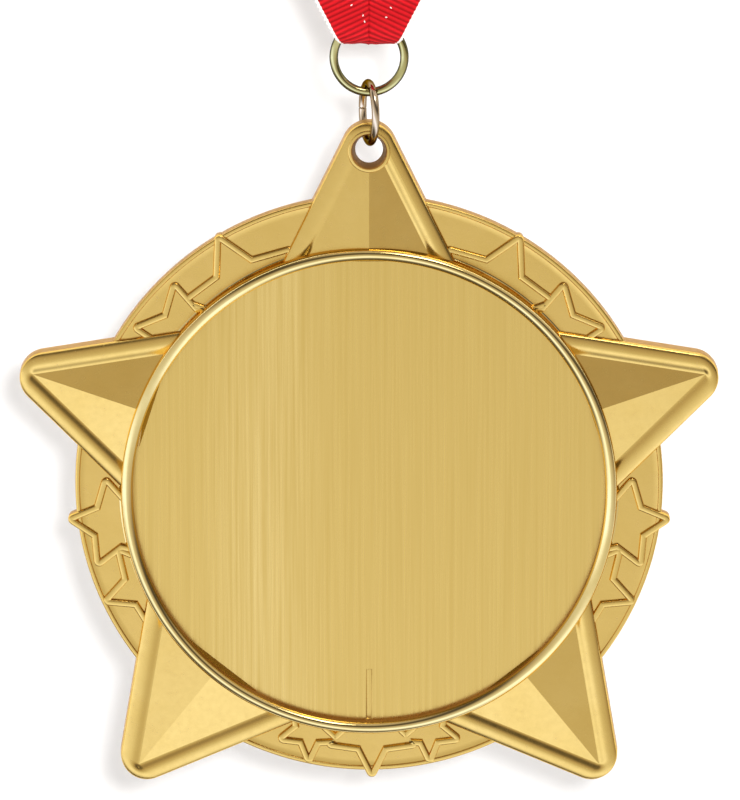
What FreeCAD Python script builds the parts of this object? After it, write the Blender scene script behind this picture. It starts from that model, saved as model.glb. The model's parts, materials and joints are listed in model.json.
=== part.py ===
"""Star medal with an empty insert recess, hung by two rings from a mitred neck ribbon.

Millimetres, +Z up, the medal's face towards -Y.  Every piece is drawn in the medal's own frame,
whose origin is on the axis of the round rim, in the plane of the medal's back, and is then moved
so that the row's origin is the middle of the folded ribbon's top edge, where the medal is held.
"""

import FreeCAD
import Part
import math
import os

Vector = FreeCAD.Vector
BACKWARDS = Vector(0, 1, 0)
FORWARDS = Vector(0, -1, 0)

# Casting: one zinc die casting, plated.  A depth is measured forwards from the flat back.
RIM_OUTER_R = 27.07
RECESS_R = 25.82
RIM_CREST_DEPTH = 4.2
RECESS_FLOOR_DEPTH = 2.6
DISC_R = 32.2
DISC_LIFT = 0.4            # the disc's centre is this far above the rim's
DISC_DEPTH = 1.7
DISC_DRAFT = 0.1
DISC_BEAD_R = 0.22         # round bead along the disc's edge
DISC_BEAD_INSET = 0.5
FLOOR_GROOVE_TOP = -20.1
FLOOR_GROOVE_WIDTH = 0.6
FLOOR_GROOVE_DEPTH = 0.25

# Star arms: direction from straight up, clockwise seen from the front, in degrees; distance of
# the sides' meeting point from the star's centre; half of the angle between the sides.
STAR_LIFT = 1.03           # the star's centre is this far above the rim's
ARMS = [
    (0.0, 43.5, 26.3),
    (72.0, 43.56, 27.0),
    (141.6, 45.6, 28.7),
    (-141.6, 45.6, 28.7),
    (-72.0, 43.56, 27.0),
]
ARM_TIP_R = 3.0
ARM_ROOT = 20.0            # arms start this far from the star's centre, under the rim
ARM_BORDER = [             # (inset from the side, depth) across the rounded border
    (0.0, 0.0),
    (0.12, 2.05),
    (0.27, 2.42),
    (0.58, 2.64),
    (1.05, 2.72),
    (1.6, 2.6),
    (2.3, 2.2),
]
ARM_VALLEY_DEPTH = 2.2
ARM_RIDGE_DEPTH = 3.15     # where the ridge meets the rim
ROOF_SUNK = 0.04           # the facets' feet are this far below the valley

# Hole in the top arm, narrowest a little way in from the back.
HOLE_Z = 37.6
HOLE_NECK_R = 1.5
HOLE_NECK_DEPTH = 0.7
HOLE_FRONT_R = 1.88
HOLE_FRONT_DEPTH = 2.6
HOLE_BACK_R = 1.82
HOLE_PAD_R = 2.3

# Outline stars on the disc: centre x and z, radius of the points, share of it at the inner
# corners, and the direction of the outermost point above +X.  All but the one at the bottom
# are made on both sides.  A star is cut off where it runs under the star that comes after it.
OUTLINE_PAIRS = [
    [(13.36, 21.97, 6.87, 0.53, 63.7), (20.0, 17.5, 5.55, 0.526, 77.7)],
    [(27.72, -3.8, 5.1, 0.53, 5.6), (24.2, -10.7, 5.17, 0.51, -21.7)],
    [(6.55, -27.25, 3.57, 0.46, -88.0)],
]
OUTLINE_BOTTOM = (0.3, -27.24, 5.16, 0.5, -90.0)
RIB_BASE_WIDTH = 0.8
RIB_TOP_WIDTH = 0.3
RIB_HEIGHT = 0.45

# Rings.
JUMP_WIRE_R = 0.42
JUMP_R = 3.22              # to the wire's centre
JUMP_Z = 41.7
JUMP_TWIST = 12.7          # about the vertical, degrees
JUMP_SPLIT = 0.05          # gap where the wire's ends meet
RIBBON_RING_WIRE_R = 0.465
RIBBON_RING_R = 3.815
RIBBON_RING_Z = 47.75
RING_SWING = 30               # each way, degrees
RING_ROOM = 0.05              # between the wire and the loop's trimmed corners

# Neck ribbon: 22.2 mm wide, its two tails sewn together in a V round the ring.
RIBBON_WIDTH = 22.2
RIBBON_LAYER = 0.45
TAIL_ANGLE = 26.1          # of each tail from the vertical
LOOP_Z = 51.0              # centre of the sewn loop, and the ring's hinge in it
LOOP_INNER_R = 1.3
LOOP_CLOSED_Z = 52.95
LOOP_HALF_WIDTH = 2.85     # of the V's bottom edge
V_THICKNESS = 1.0
SEAM_TOP_GAP = 4.0         # from the top of the seam to the top of the folded tails
HANK_LENGTH = 57.0
HANK_LAYERS = 11
HANK_LAYER_PITCH = 0.58
BAND_WIDTH = 9.0
BAND_THICKNESS = 0.3

# Thread.
THREAD_R = 0.13
STITCH_LENGTH = 0.75
STITCH_ROW_Z = [53.35, 54.15]
STITCH_COLUMNS = [-2.1, -0.7, 0.7, 2.1]
SEAM_STITCH_STEP = 3.2

TAIL_SLOPE = math.tan(math.radians(TAIL_ANGLE))
TAIL_SPAN = RIBBON_WIDTH / math.cos(math.radians(TAIL_ANGLE))
LOOP_OUTER_R = LOOP_INNER_R + RIBBON_LAYER
LOOP_BOTTOM_Z = LOOP_Z - LOOP_OUTER_R
SEAM_TOP_Z = LOOP_BOTTOM_Z + (TAIL_SPAN - LOOP_HALF_WIDTH) / TAIL_SLOPE
HANK_TOP_Z = SEAM_TOP_Z + SEAM_TOP_GAP
HANK_BOTTOM_Z = HANK_TOP_Z - RIBBON_WIDTH
HANK_THICKNESS = HANK_LAYERS * HANK_LAYER_PITCH
V_BACK_Y = V_THICKNESS / 2
HOLD_Z = HANK_TOP_Z + BAND_THICKNESS


def front(x, z, depth):
    """A point of the medal's frame, that far in front of its back."""
    return Vector(x, -depth, z)


def closed(points):
    """A closed wire of straight edges."""
    return Part.makePolygon(points + points[:1])


def prism(points, length, direction):
    """The closed polygon's face, extruded."""
    return Part.Face(closed(points)).extrude(direction * length)


def loft(wires):
    """A solid with straight sides through the wires."""
    return Part.makeLoft(wires, True, True)


def rod(radius, length, depth, x=0.0, z=0.0):
    """A cylinder along Y whose far end is at that depth."""
    return Part.makeCylinder(radius, length, front(x, z, depth), FORWARDS)


def turned(profile, x, z):
    """The closed profile of (radius, depth) points, turned about the line along Y at x, z."""
    wire = closed([front(x + radius, z, depth) for radius, depth in profile])
    return Part.Face(wire).revolve(front(x, z, 0), BACKWARDS, 360)


# Casting ------------------------------------------------------------------------------------


def arm_point(along, across, depth, direction):
    """A point of an arm: along its axis from the star's centre, and across it."""
    turn = math.radians(direction)
    x = along * math.sin(turn) + across * math.cos(turn)
    z = along * math.cos(turn) - across * math.sin(turn)
    return front(x, STAR_LIFT + z, depth)


def arm_outline(arm, inset, depth):
    """The arm's outline, moved in from its sides by inset: two sides, a round tip and a root."""
    direction, reach, half_angle = arm
    half = math.radians(half_angle)
    apex = reach - inset / math.sin(half)
    tip_r = ARM_TIP_R - inset
    centre = apex - tip_r / math.sin(half)
    touch_along = centre + tip_r * math.sin(half)
    touch_across = tip_r * math.cos(half)
    root_across = (apex - ARM_ROOT) * math.tan(half)
    left_root = arm_point(ARM_ROOT, -root_across, depth, direction)
    left_touch = arm_point(touch_along, -touch_across, depth, direction)
    tip = arm_point(centre + tip_r, 0, depth, direction)
    right_touch = arm_point(touch_along, touch_across, depth, direction)
    right_root = arm_point(ARM_ROOT, root_across, depth, direction)
    edges = [
        Part.makeLine(left_root, left_touch),
        Part.Arc(left_touch, tip, right_touch).toShape(),
        Part.makeLine(right_touch, right_root),
        Part.makeLine(right_root, left_root),
    ]
    return Part.Wire(edges)


def arm_roof(arm):
    """The two flat facets that rise from the valleys to a ridge along the arm's axis."""
    direction, reach, half_angle = arm
    half = math.radians(half_angle)
    tip = reach - ARM_BORDER[-1][0] / math.sin(half)
    root = ARM_ROOT + 0.5
    root_across = (tip - root) * math.tan(half)
    foot = ARM_VALLEY_DEPTH - ROOF_SUNK
    rise_to_rim = ARM_RIDGE_DEPTH - foot
    rise_to_root = rise_to_rim * (tip - root) / (tip - RIM_OUTER_R)
    base = foot - 0.2
    corners = [(tip, 0), (root, -root_across), (root, root_across)]
    low = [arm_point(along, across, base, direction) for along, across in corners]
    rim = [arm_point(along, across, foot, direction) for along, across in corners]
    ridge = arm_point(root, 0, foot + rise_to_root, direction)
    faces = [
        [low[0], low[1], low[2]],
        [low[0], rim[0], rim[1], low[1]],
        [low[0], rim[0], rim[2], low[2]],
        [low[1], rim[1], ridge, rim[2], low[2]],
        [rim[0], rim[1], ridge],
        [rim[0], rim[2], ridge],
    ]
    shell = Part.makeShell([Part.Face(closed(points)) for points in faces])
    return Part.makeSolid(shell)


def star_arm(arm):
    """One arm of the raised star, with its rounded border and roof."""
    sections = [arm_outline(arm, inset, depth) for inset, depth in ARM_BORDER]
    return loft(sections).fuse(arm_roof(arm))


def disc():
    """The back disc, with a drafted edge and a fine bead along it."""
    plate = turned(
        [(0, 0), (DISC_R, 0), (DISC_R - DISC_DRAFT, DISC_DEPTH), (0, DISC_DEPTH)], 0, DISC_LIFT
    )
    bead = Part.makeTorus(
        DISC_R - DISC_BEAD_INSET, DISC_BEAD_R, front(0, DISC_LIFT, DISC_DEPTH), FORWARDS
    )
    return plate.fuse(bead)


def rim():
    """The round-topped rim with the recess floor inside it."""
    middle = (RIM_OUTER_R + RECESS_R) / 2
    round_r = (RIM_OUTER_R - RECESS_R) / 2
    wall_top = RIM_CREST_DEPTH - round_r
    inner_edge = front(RECESS_R, 0, wall_top)
    outer_edge = front(RIM_OUTER_R, 0, wall_top)
    outline = Part.Wire(
        [
            Part.makeLine(front(0, 0, 0), front(0, 0, RECESS_FLOOR_DEPTH)),
            Part.makeLine(front(0, 0, RECESS_FLOOR_DEPTH), front(RECESS_R, 0, RECESS_FLOOR_DEPTH)),
            Part.makeLine(front(RECESS_R, 0, RECESS_FLOOR_DEPTH), inner_edge),
            Part.Arc(inner_edge, front(middle, 0, RIM_CREST_DEPTH), outer_edge).toShape(),
            Part.makeLine(outer_edge, front(RIM_OUTER_R, 0, 0)),
            Part.makeLine(front(RIM_OUTER_R, 0, 0), front(0, 0, 0)),
        ]
    )
    return Part.Face(outline).revolve(Vector(0, 0, 0), BACKWARDS, 360)


def outline_star(star, spread, depth):
    """The closed wire of an outline star whose sides are moved outwards by spread."""
    x, z, radius, inner_share, direction = star
    inner = radius * inner_share
    side = math.hypot(
        radius - inner * math.cos(math.pi / 5), inner * math.sin(math.pi / 5)
    )
    to_side = radius * inner * math.sin(math.pi / 5) / side
    scale = (to_side + spread) / to_side
    points = []
    for corner in range(10):
        turn = math.radians(direction + 36 * corner)
        reach = scale * (inner if corner % 2 else radius)
        points.append(front(x + reach * math.cos(turn), z + reach * math.sin(turn), depth))
    return closed(points)


def outline_rib(star):
    """The raised rib along an outline star, and the plate under it out to its points."""
    base = DISC_DEPTH - 0.3
    top = DISC_DEPTH + RIB_HEIGHT
    wide = RIB_BASE_WIDTH / 2
    narrow = RIB_TOP_WIDTH / 2
    outside = loft([outline_star(star, wide, base), outline_star(star, narrow, top)])
    inside = loft([outline_star(star, -wide, DISC_DEPTH), outline_star(star, -narrow, top + 0.01)])
    plate = loft([outline_star(star, wide, 0), outline_star(star, wide - 0.05, base)])
    return plate.fuse(outside).cut(inside)


def mirrored(star):
    """The same outline star on the other side of the medal."""
    x, z, radius, inner_share, direction = star
    return (-x, z, radius, inner_share, 180 - direction)


def outline_group(stars):
    """Ribs of stars that overlap: each one ends where the next one covers it."""
    group = None
    for star in stars:
        if group is not None:
            cover = Part.Face(outline_star(star, 0, DISC_DEPTH + 0.001)).extrude(FORWARDS)
            group = group.cut(cover).fuse(outline_rib(star))
        else:
            group = outline_rib(star)
    return group


def outline_ribs():
    """All outline stars, in their gaps between the arms."""
    groups = []
    for stars in OUTLINE_PAIRS:
        groups.append(outline_group(stars))
        groups.append(outline_group([mirrored(star) for star in stars]))
    groups.append(outline_rib(OUTLINE_BOTTOM))
    return groups


def hole():
    """The hole through the top arm, tapered from both faces to its neck."""
    beyond = 1.0
    front_slope = (HOLE_FRONT_R - HOLE_NECK_R) / (HOLE_FRONT_DEPTH - HOLE_NECK_DEPTH)
    back_slope = (HOLE_BACK_R - HOLE_NECK_R) / HOLE_NECK_DEPTH
    return turned(
        [
            (0, -beyond),
            (HOLE_BACK_R + back_slope * beyond, -beyond),
            (HOLE_NECK_R, HOLE_NECK_DEPTH),
            (HOLE_FRONT_R + front_slope * beyond, HOLE_FRONT_DEPTH + beyond),
            (0, HOLE_FRONT_DEPTH + beyond),
        ],
        0,
        HOLE_Z,
    )


def star_casting():
    """The whole casting, hung so that its centre of mass is under the hinges."""
    body = disc()
    for piece in [star_arm(arm) for arm in ARMS] + outline_ribs():
        body = body.fuse(piece)
    body = body.fuse(rod(HOLE_PAD_R, HOLE_FRONT_DEPTH, 0, 0, HOLE_Z))
    body = body.cut(rod(RIM_OUTER_R - 0.1, RIM_CREST_DEPTH, RECESS_FLOOR_DEPTH - 0.5))
    body = body.fuse(rim())
    groove = Part.makeBox(
        FLOOR_GROOVE_WIDTH,
        FLOOR_GROOVE_DEPTH + 0.5,
        RECESS_R - abs(FLOOR_GROOVE_TOP) - 0.1,
        Vector(-FLOOR_GROOVE_WIDTH / 2, -RECESS_FLOOR_DEPTH - 0.5, -RECESS_R + 0.1),
    )
    body = body.cut(groove).cut(hole()).removeSplitter().Solids[0]
    body.translate(Vector(0, -body.CenterOfMass.y, 0))
    return body


# Rings --------------------------------------------------------------------------------------


def jump_ring():
    """The small split ring through the hole and round the ribbon ring."""
    centre = Vector(0, 0, JUMP_Z)
    ring = Part.makeTorus(JUMP_R, JUMP_WIRE_R, centre, Vector(1, 0, 0))
    split = Part.makeBox(2, 2, JUMP_SPLIT, Vector(-1, -JUMP_R - 1, JUMP_Z - JUMP_SPLIT / 2))
    ring = ring.cut(split)
    ring.rotate(centre, Vector(0, 0, 1), JUMP_TWIST)
    return ring


def ribbon_ring():
    """The larger, brazed ring in the ribbon's loop."""
    return Part.makeTorus(
        RIBBON_RING_R, RIBBON_RING_WIRE_R, Vector(0, 0, RIBBON_RING_Z), Vector(0, 1, 0)
    )


# Ribbon -------------------------------------------------------------------------------------


def half_width(z):
    """Half of the V's width at a height."""
    return LOOP_HALF_WIDTH + (z - LOOP_BOTTOM_Z) * TAIL_SLOPE


def v_outline():
    """The V seen from the front: up the tails, over their folds, and the notch between them."""
    corner_x = half_width(HANK_BOTTOM_Z)
    notch_x = (HANK_TOP_Z - SEAM_TOP_Z) * TAIL_SLOPE
    right = [
        (LOOP_HALF_WIDTH, LOOP_BOTTOM_Z),
        (corner_x, HANK_BOTTOM_Z),
        (notch_x, HANK_TOP_Z),
    ]
    left = [(-x, z) for x, z in reversed(right)]
    return [Vector(x, 0, z) for x, z in right + [(0, SEAM_TOP_Z)] + left]


def loop_section(radius, closed_z, half_gap):
    """A round loop that closes upwards to a gap, seen from the side, extruded across the V."""
    width = 2 * RIBBON_WIDTH
    start = Vector(-width / 2, 0, LOOP_Z)
    across = Vector(1, 0, 0)
    rise = closed_z - LOOP_Z
    lean = math.asin((radius - half_gap) / rise)
    side = Vector(0, radius * math.cos(lean), radius * math.sin(lean))
    other_side = Vector(0, -side.y, side.z)
    top = Vector(0, half_gap, rise)
    other_top = Vector(0, -half_gap, rise)
    taper = prism([start + side, start + top, start + other_top, start + other_side], width, across)
    return taper.fuse(Part.makeCylinder(radius, width, start, across))


def ring_sweep():
    """The solids that the ribbon ring fills, with a little room, as it swings in the loop."""
    centre = Vector(0, 0, RIBBON_RING_Z)
    hinge = Vector(0, 0, LOOP_Z)
    across = Vector(1, 0, 0)
    wire = RIBBON_RING_WIRE_R + RING_ROOM
    outer = closed_circle(RIBBON_RING_R + wire, centre)
    inner = closed_circle(RIBBON_RING_R - wire, centre)
    below = Part.makeBox(20, 20, 20, Vector(-10, -10, LOOP_Z - 20.3))
    between = outer.cut(inner).common(below)
    between.rotate(hinge, across, -RING_SWING)
    solids = [between.revolve(hinge, across, 2 * RING_SWING)]
    for end in (-RING_SWING, RING_SWING):
        ring = Part.makeTorus(RIBBON_RING_R, wire, centre, Vector(0, 1, 0))
        ring.rotate(hinge, across, end)
        solids.append(ring)
    return solids


def closed_circle(radius, centre):
    """A disc-shaped face that looks forwards."""
    return Part.Face(Part.Wire([Part.makeCircle(radius, centre, Vector(0, 1, 0))]))


def ribbon_v():
    """The sewn V and its loop round the ribbon ring."""
    plate = Part.makeBox(
        4 * RIBBON_WIDTH,
        V_THICKNESS,
        HANK_TOP_Z - LOOP_Z,
        Vector(-2 * RIBBON_WIDTH, -V_BACK_Y, LOOP_Z),
    )
    outside = loop_section(LOOP_OUTER_R, LOOP_CLOSED_Z + 1.4, V_BACK_Y)
    cavity = loop_section(LOOP_INNER_R, LOOP_CLOSED_Z, 0.05)
    depth = 4 * LOOP_OUTER_R
    outline = prism([point - BACKWARDS * depth / 2 for point in v_outline()], depth, BACKWARDS)
    sewn = plate.fuse(outside).cut(cavity).common(outline).removeSplitter()
    for solid in ring_sweep():
        sewn = sewn.cut(solid)
    return sewn


def hank_band():
    """The woven band that ties the folded tails."""
    outer = Part.makeBox(
        BAND_WIDTH,
        HANK_THICKNESS + BAND_THICKNESS,
        RIBBON_WIDTH + 2 * BAND_THICKNESS,
        Vector(-BAND_WIDTH / 2, V_BACK_Y, HANK_BOTTOM_Z - BAND_THICKNESS),
    )
    inner = Part.makeBox(
        BAND_WIDTH,
        HANK_THICKNESS - BAND_THICKNESS,
        RIBBON_WIDTH,
        Vector(-BAND_WIDTH / 2, V_BACK_Y + BAND_THICKNESS, HANK_BOTTOM_Z),
    )
    return outer.cut(inner)


def ribbon_hank(band):
    """The tails, folded to and fro behind the V, as one outer shape."""
    end_r = HANK_THICKNESS / 2
    straight = HANK_LENGTH - 2 * end_r
    middle_y = V_BACK_Y + end_r
    body = Part.makeBox(
        straight, HANK_THICKNESS, RIBBON_WIDTH, Vector(-straight / 2, V_BACK_Y, HANK_BOTTOM_Z)
    )
    ends = [
        Part.makeCylinder(end_r, RIBBON_WIDTH, Vector(side * straight / 2, middle_y, HANK_BOTTOM_Z))
        for side in (-1, 1)
    ]
    return body.multiFuse(ends).removeSplitter().cut(band)


# Thread -------------------------------------------------------------------------------------


def stitch(x, y, z, lean):
    """One visible stitch, lying half in the ribbon's face."""
    along = Vector(math.sin(math.radians(lean)), 0, math.cos(math.radians(lean)))
    start = Vector(x, y, z) - along * STITCH_LENGTH / 2
    return Part.makeCylinder(THREAD_R, STITCH_LENGTH, start, along)


def tack_thread():
    """The stitches above the ring that close the loop, front and back."""
    faces = (-V_BACK_Y, V_BACK_Y)
    top_row = max(STITCH_ROW_Z) + 0.3
    return Part.makeCompound(
        [
            stitch(x, y, top_row + row, 90 if x * y > 0 else 60)
            for y in faces
            for x in STITCH_COLUMNS
            for row in (0.0, 0.9)
        ]
    )


def seam_thread():
    """The stitches along the V's middle seam, on its back."""
    first = max(STITCH_ROW_Z) + SEAM_STITCH_STEP
    count = int((HANK_BOTTOM_Z - 1 - first) / SEAM_STITCH_STEP) + 1
    return Part.makeCompound(
        [stitch(0, V_BACK_Y, first + step * SEAM_STITCH_STEP, 0) for step in range(count)]
    )


def main():
    os.makedirs("parts", exist_ok=True)
    band = hank_band()
    nodes = {
        "star_casting": star_casting(),
        "jump_ring": jump_ring(),
        "ribbon_ring": ribbon_ring(),
        "ribbon_v": ribbon_v(),
        "ribbon_hank": ribbon_hank(band),
        "hank_band": band,
        "tack_thread": tack_thread(),
        "seam_thread": seam_thread(),
    }
    for name, shape in nodes.items():
        shape.translate(Vector(0, 0, -HOLD_Z))
        shape.exportStep(f"parts/{name}.step")
        box = shape.BoundBox
        print(
            f"{name}: {len(shape.Solids)} solid(s), valid {shape.isValid()}, "
            f"{shape.Volume:.2f} mm3, z {box.ZMin:.2f} to {box.ZMax:.2f}, "
            f"y {box.YMin:.2f} to {box.YMax:.2f}, x {box.XMin:.2f} to {box.XMax:.2f}"
        )


main()
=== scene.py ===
"""Looks of a star medal: a plated casting with an empty recess, two rings and a folded ribbon.

Metres, in the part's own frame: +Z up, the medal's face towards -Y.
"""

import bmesh
import bpy
import json
import math
import random
from mathutils import Matrix, Vector


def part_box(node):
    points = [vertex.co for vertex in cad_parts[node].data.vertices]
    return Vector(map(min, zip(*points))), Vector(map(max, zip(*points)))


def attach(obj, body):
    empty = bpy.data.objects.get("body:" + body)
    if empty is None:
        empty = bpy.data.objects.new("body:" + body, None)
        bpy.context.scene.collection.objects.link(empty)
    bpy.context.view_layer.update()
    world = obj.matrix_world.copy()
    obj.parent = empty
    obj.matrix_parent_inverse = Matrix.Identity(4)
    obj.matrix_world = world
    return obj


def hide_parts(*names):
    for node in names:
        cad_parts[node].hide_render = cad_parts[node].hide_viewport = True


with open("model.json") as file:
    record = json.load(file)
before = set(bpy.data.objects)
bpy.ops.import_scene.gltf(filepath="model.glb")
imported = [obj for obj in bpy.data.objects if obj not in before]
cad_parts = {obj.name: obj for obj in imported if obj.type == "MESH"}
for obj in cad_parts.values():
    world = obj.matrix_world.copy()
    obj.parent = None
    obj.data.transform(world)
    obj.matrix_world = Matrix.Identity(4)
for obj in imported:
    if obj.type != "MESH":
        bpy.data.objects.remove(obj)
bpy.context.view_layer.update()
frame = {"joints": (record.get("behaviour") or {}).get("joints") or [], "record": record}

MM = 0.001
JOINTS = {joint["name"]: joint for joint in frame["joints"]}
MOUNTS = {mount["name"]: mount for mount in frame["record"]["mounts"]}

# The medal's own frame: the rim's axis, and depths measured forwards from the flat back.
RIM_Z = MOUNTS["insert_recess"]["pos_m"][2]
BACK_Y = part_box("star_casting")[1].y
FRONT_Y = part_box("star_casting")[0].y
CREST = BACK_Y - FRONT_Y
RECESS_R = MOUNTS["insert_recess"]["dims"]["r_mm"] * MM
RIM_OUTER_R = RECESS_R + 1.25 * MM
FLOOR = CREST - 1.6 * MM
DISC_R = 32.2 * MM
DISC_LIFT = 0.4 * MM
DISC_FACE = 1.7 * MM
STAR_LIFT = 1.03 * MM
HOLE_LIFT = 37.6 * MM
GROOVE_HALF = 0.3 * MM
GROOVE_DEPTH = 0.3 * MM
TIP_R = 3.0 * MM
RIDGE_FACE = 3.15 * MM

# Direction from straight up, clockwise; where the sides meet; half of the angle between them.
ARMS = {
    "top": (0.0, 43.5 * MM, 26.3),
    "right": (72.0, 43.56 * MM, 27.0),
    "right_foot": (141.6, 45.6 * MM, 28.7),
    "left_foot": (-141.6, 45.6 * MM, 28.7),
    "left": (-72.0, 43.56 * MM, 27.0),
}

# Outline stars: centre x and z, radius of the points, share of it at the inner corners, and the
# direction of the outermost point above +X.  A later star of a group covers the one before it.
OUTLINE_GROUPS = {
    "upper": [(13.36, 21.97, 6.87, 0.53, 63.7), (20.0, 17.5, 5.55, 0.526, 77.7)],
    "lower": [(27.72, -3.8, 5.1, 0.53, 5.6), (24.2, -10.7, 5.17, 0.51, -21.7)],
    "foot": [(6.55, -27.25, 3.57, 0.46, -88.0)],
}
OUTLINE_BOTTOM = (0.3, -27.24, 5.16, 0.5, -90.0)

LATHE_STEPS = 288
MERGE = 1e-7            # points closer than this are one
STEEP_WALL = 0.6        # largest share of a wall's normal along Y
STEEP_ROUND = 0.75


# Mesh helpers -------------------------------------------------------------------------------


def finish_mesh(mesh, name, body, materials, replaces=()):
    """Turns a bmesh into a piece of the object, riding on its body."""
    data = bpy.data.meshes.new(name)
    mesh.to_mesh(data)
    mesh.free()
    piece = bpy.data.objects.new(name, data)
    bpy.context.scene.collection.objects.link(piece)
    for material in materials:
        data.materials.append(material)
    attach(piece, body)
    if replaces:
        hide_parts(*replaces)
    return piece


def shade(mesh, sharp_angle=32):
    """Smooth faces, with sharp edges where the surface turns by more than the angle."""
    limit = math.radians(sharp_angle)
    for face in mesh.faces:
        face.smooth = True
    for edge in mesh.edges:
        if len(edge.link_faces) == 2 and edge.calc_face_angle(0) > limit:
            edge.smooth = False


def lathe(profile, x, z, steps=LATHE_STEPS):
    """A bmesh turned about the line along Y at x, z, from (radius, depth) points."""
    mesh = bmesh.new()
    verts = [mesh.verts.new((x + radius, BACK_Y - depth, z)) for radius, depth in profile]
    edges = [mesh.edges.new(pair) for pair in zip(verts, verts[1:])]
    bmesh.ops.spin(
        mesh,
        geom=verts + edges,
        cent=(x, 0, z),
        axis=(0, 1, 0),
        angle=2 * math.pi,
        steps=steps,
        use_merge=True,
    )
    bmesh.ops.remove_doubles(mesh, verts=mesh.verts, dist=MERGE)
    bmesh.ops.recalc_face_normals(mesh, faces=mesh.faces)
    return mesh


def arc(centre, radius, start, end, steps):
    """Points of an arc from start to end degrees, in (radius, depth) or any other plane."""
    turns = [math.radians(start + (end - start) * k / steps) for k in range(steps + 1)]
    return [(centre[0] + radius * math.cos(t), centre[1] + radius * math.sin(t)) for t in turns]


def paint_shade_on_walls(mesh, deepest):
    """Gives the second material, a painted shade, to the steep sides that lie behind a depth."""
    for face in mesh.faces:
        centre = face.calc_center_median()
        if abs(face.normal.y) < STEEP_WALL and BACK_Y - centre.y < deepest:
            face.material_index = 1


def paint_shade_round(mesh, x, z, radius, index):
    """Gives a painted-shade material to the steep faces of a hole round x, z."""
    for face in mesh.faces:
        centre = face.calc_center_median()
        near = math.hypot(centre.x - x, centre.z - z) < radius
        if near and abs(face.normal.y) < STEEP_ROUND:
            face.material_index = index


def object_of(mesh, name):
    """A bare object for a bmesh that isn't a piece yet."""
    data = bpy.data.meshes.new(name)
    mesh.to_mesh(data)
    mesh.free()
    thing = bpy.data.objects.new(name, data)
    bpy.context.scene.collection.objects.link(thing)
    return thing


def cut_away(mesh, tool):
    """The bmesh with the tool's solid cut out of it."""
    work = object_of(mesh, "cutting")
    cutter = object_of(tool, "cutter")
    modifier = work.modifiers.new("cut", "BOOLEAN")
    modifier.operation = "DIFFERENCE"
    modifier.solver = "EXACT"
    modifier.object = cutter
    bpy.context.view_layer.update()
    result = bmesh.new()
    result.from_object(work, bpy.context.evaluated_depsgraph_get())
    bpy.data.objects.remove(work)
    bpy.data.objects.remove(cutter)
    return result


def turned(mesh, degrees, axis, centre=(0, 0, 0)):
    """Turns the whole bmesh about a line along an axis."""
    turn = Matrix.Rotation(math.radians(degrees), 3, axis)
    bmesh.ops.rotate(mesh, verts=mesh.verts, cent=centre, matrix=turn)


def soften(mesh, edges, width):
    """Rounds edges of the bmesh."""
    bmesh.ops.bevel(
        mesh, geom=edges, offset=width, segments=2, profile=0.5, affect="EDGES", material=-1
    )


# Materials ----------------------------------------------------------------------------------


def new_material(name):
    """A material with only its Principled shader."""
    material = bpy.data.materials.new(name)
    material.use_nodes = True
    return material, material.node_tree, material.node_tree.nodes["Principled BSDF"]


def node(tree, kind, **values):
    """A node with its properties set; names of inputs with a value go to the sockets."""
    made = tree.nodes.new(kind)
    for key, value in values.items():
        if hasattr(made, key):
            setattr(made, key, value)
        else:
            made.inputs[key.replace("_", " ")].default_value = value
    return made


def calc(tree, operation, *inputs, clamp=False):
    """A Math node over sockets and plain numbers; returns its result."""
    made = node(tree, "ShaderNodeMath", operation=operation, use_clamp=clamp)
    for socket, value in zip(made.inputs, inputs):
        if isinstance(value, (int, float)):
            socket.default_value = value
        else:
            tree.links.new(value, socket)
    return made.outputs["Value"]


def ranged(tree, value, low, high, start=0.0, end=1.0, smooth=False):
    """A value socket mapped from start..end to low..high."""
    kind = "SMOOTHSTEP" if smooth else "LINEAR"
    made = node(tree, "ShaderNodeMapRange", interpolation_type=kind)
    for label, number in (("From Min", start), ("From Max", end), ("To Min", low), ("To Max", high)):
        made.inputs[label].default_value = number
    tree.links.new(value, made.inputs["Value"])
    return made.outputs["Result"]


def mixed_colour(tree, factor, low, high):
    """A colour between two, each a colour or a socket, by a mask socket."""
    mix = node(tree, "ShaderNodeMix", data_type="RGBA")
    sockets = [socket for socket in mix.inputs if socket.type == "RGBA"]
    for socket, colour in zip(sockets, (low, high)):
        if isinstance(colour, tuple):
            socket.default_value = (*colour, 1)
        else:
            tree.links.new(colour, socket)
    tree.links.new(factor, mix.inputs["Factor"])
    return [socket for socket in mix.outputs if socket.type == "RGBA"][0]


def stretched(tree, vector, scale):
    """A vector socket scaled by a different amount along each axis."""
    made = node(tree, "ShaderNodeMapping")
    made.inputs["Scale"].default_value = scale
    tree.links.new(vector, made.inputs["Vector"])
    return made.outputs["Vector"]


def noise(tree, vector, scale, detail, roughness=0.5):
    """The value of a noise texture over a vector socket."""
    made = node(tree, "ShaderNodeTexNoise", Scale=scale, Detail=detail, Roughness=roughness)
    tree.links.new(vector, made.inputs["Vector"])
    return made.outputs["Fac"]


def group_of(name, inputs, outputs):
    """An empty shader node group with its sockets, and its two end nodes."""
    group = bpy.data.node_groups.new(name, "ShaderNodeTree")
    for label, kind, value in inputs:
        socket = group.interface.new_socket(label, in_out="INPUT", socket_type=kind)
        if value is not None:
            socket.default_value = value
    for label, kind in outputs:
        group.interface.new_socket(label, in_out="OUTPUT", socket_type=kind)
    return group, group.nodes.new("NodeGroupInput"), group.nodes.new("NodeGroupOutput")


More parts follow.
